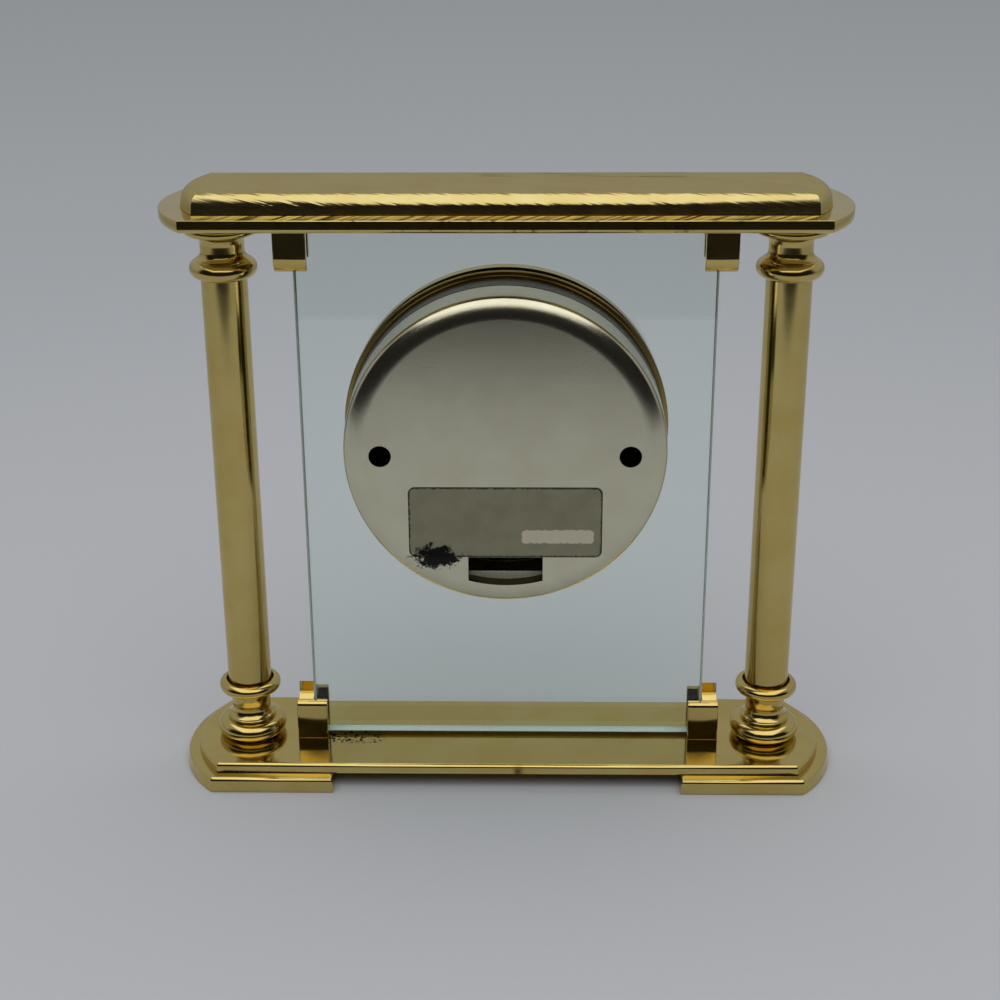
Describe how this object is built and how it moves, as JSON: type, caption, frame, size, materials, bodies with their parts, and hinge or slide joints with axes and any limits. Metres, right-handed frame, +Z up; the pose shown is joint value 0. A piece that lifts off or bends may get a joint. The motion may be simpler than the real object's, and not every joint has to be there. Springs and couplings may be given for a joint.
{
  "type": "desk clock",
  "caption": "Brass column desk clock: round quartz clock head with a pull-off rear cap, clamped in a glass panel between a base and a stepped top on two turned columns.",
  "frame": {"origin": "on the table under the middle of the clock's bounding box", "axes": "+Z up, +X along the base to the right as the dial is read, the dial faces -Y and the rear cap +Y"},
  "size_m": [0.1852, 0.0486, 0.1675],
  "materials": {
    "plate_brass": "satin polished brass plate under clear lacquer",
    "turned_brass": "polished turned brass under clear lacquer",
    "clip_brass": "satin brass section",
    "case_brass": "polished brass sheet",
    "cap_nickel": "champagne coloured satin nickel plate on sheet metal",
    "label_foil": "dull grey foil, worn and smudged",
    "panel_glass": "clear float glass with a pale green tint",
    "crystal_glass": "clear mineral glass",
    "screw_steel": "zinc plated steel",
    "seal_rubber": "soft black rubber",
    "dial_enamel": "cream enamel with printed black figures",
    "hand_black": "black lacquered steel",
    "movement_plastic": "matt black moulded plastic",
    "wheel_plastic": "natural white moulded plastic",
    "magnet_grey": "dark bonded magnet on a plastic pinion",
    "coil_copper": "enamelled copper winding",
    "board_green": "lacquered circuit board",
    "battery_jacket": "plain grey battery jacket"
  },
  "bodies": {
    "clock": {"foot_plate_left": "plate_brass", "foot_plate_right": "plate_brass", "base_plate": "plate_brass", "top_plate": "plate_brass", "crown_block": "plate_brass", "column_shaft_left": "turned_brass", "column_shaft_right": "turned_brass", "capital_left": "turned_brass", "capital_right": "turned_brass", "column_foot_left": "turned_brass", "column_foot_right": "turned_brass", "tie_bolts": "screw_steel", "tie_nuts": "screw_steel", "crown_screws": "screw_steel", "clip_base_left": "clip_brass", "clip_base_right": "clip_brass", "clip_top_left": "clip_brass", "clip_top_right": "clip_brass", "clip_screws": "screw_steel", "clip_liners": "seal_rubber", "glass_panel": "panel_glass", "front_gasket": "seal_rubber", "rear_gasket": "seal_rubber", "bezel": "case_brass", "crystal_lens": "crystal_glass", "front_case": "case_brass", "dial_ring": "case_brass", "dial": "dial_enamel", "hand_bushing": "case_brass", "hand_nut": "case_brass", "dial_washer": "seal_rubber", "rear_housing": "case_brass", "clamp_screws": "screw_steel", "movement_front": "movement_plastic", "movement_back": "movement_plastic", "train_bridge": "screw_steel", "stator": "screw_steel", "coil": "coil_copper", "circuit_board": "board_green", "quartz_can": "screw_steel", "battery": "battery_jacket", "contact_plus": "screw_steel", "contact_minus": "screw_steel"},
    "minute_hands": {"minute_hand": "hand_black", "minute_arbor": "wheel_plastic", "hand_cap": "case_brass"},
    "hour_hands": {"hour_hand": "hand_black", "hour_wheel": "wheel_plastic"},
    "motion_work": {"minute_wheel": "wheel_plastic"},
    "setting": {"setting_knob": "wheel_plastic"},
    "rotor": {"rotor": "magnet_grey"},
    "step": {"step_wheel": "wheel_plastic"},
    "second": {"second_wheel": "wheel_plastic"},
    "third": {"third_wheel": "wheel_plastic"},
    "centre": {"centre_wheel": "wheel_plastic"},
    "cap": {"rear_cap": "cap_nickel", "cap_label": "label_foil"}
  },
  "joints": [
    {"name": "minute_turn", "type": "hinge", "parent": "clock", "child": "minute_hands", "pos_m": [0, -0.00086, 0.1018], "axis": [0, 1, 0], "continuous": true},
    {"name": "hour_turn", "type": "hinge", "parent": "clock", "child": "hour_hands", "pos_m": [0, -0.00086, 0.1018], "axis": [0, 1, 0], "continuous": true},
    {"name": "motion_turn", "type": "hinge", "parent": "clock", "child": "motion_work", "pos_m": [0.013, -0.00086, 0.1018], "axis": [0, 1, 0], "continuous": true},
    {"name": "knob_turn", "type": "hinge", "parent": "clock", "child": "setting", "pos_m": [0.0065, -0.00086, 0.11306], "axis": [0, 1, 0], "continuous": true},
    {"name": "rotor_turn", "type": "hinge", "parent": "clock", "child": "rotor", "pos_m": [0.01602, -0.00086, 0.10699], "axis": [0, 1, 0], "continuous": true},
    {"name": "step_turn", "type": "hinge", "parent": "clock", "child": "step", "pos_m": [0.01182, -0.00086, 0.09972], "axis": [0, 1, 0], "continuous": true},
    {"name": "second_turn", "type": "hinge", "parent": "clock", "child": "second", "pos_m": [0, -0.00086, 0.1018], "axis": [0, 1, 0], "continuous": true},
    {"name": "third_turn", "type": "hinge", "parent": "clock", "child": "third", "pos_m": [-0.00771, -0.00086, 0.11099], "axis": [0, 1, 0], "continuous": true},
    {"name": "centre_turn", "type": "hinge", "parent": "clock", "child": "centre", "pos_m": [0, -0.00086, 0.1018], "axis": [0, 1, 0], "continuous": true},
    {"name": "cap_pull", "type": "slide", "parent": "clock", "child": "cap", "axis": [0, 1, 0], "range_m": [0, 0.03]}
  ],
  "couplings": [
    {"joint": "hour_turn", "follows": "minute_turn", "ratio": 0.083333},
    {"joint": "motion_turn", "follows": "minute_turn", "ratio": -0.33333},
    {"joint": "knob_turn", "follows": "minute_turn", "ratio": 1},
    {"joint": "step_turn", "follows": "rotor_turn", "ratio": -0.16667},
    {"joint": "second_turn", "follows": "rotor_turn", "ratio": 0.033333},
    {"joint": "third_turn", "follows": "rotor_turn", "ratio": -0.0044444},
    {"joint": "centre_turn", "follows": "rotor_turn", "ratio": 0.00055556}
  ]
}
